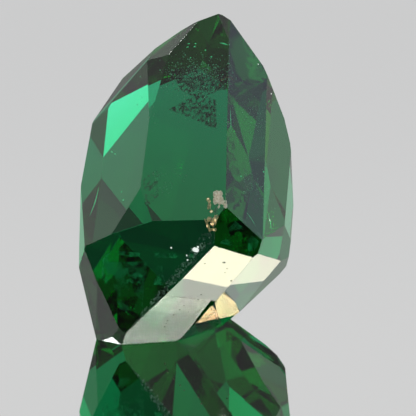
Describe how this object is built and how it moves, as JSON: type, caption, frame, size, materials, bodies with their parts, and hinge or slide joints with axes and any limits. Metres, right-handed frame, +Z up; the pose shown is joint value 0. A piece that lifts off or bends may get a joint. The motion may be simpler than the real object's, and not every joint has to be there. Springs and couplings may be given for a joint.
{
  "type": "tsavorite garnet",
  "caption": "Loose green tsavorite garnet, clear with inclusions, cut as a tall free-form faceted stone that stands on its lowest facet.",
  "frame": {"origin": "middle of the stone's footprint, on the plane that it rests on", "axes": "+Z up, the stone's long way; the front with the broad main facet faces -Y; +X to the right as seen from the front"},
  "size_m": [0.0052, 0.0062, 0.0076],
  "materials": {
    "garnet": "polished, clear deep green"
  },
  "bodies": {
    "root": {"stone": "garnet"}
  },
  "joints": []
}
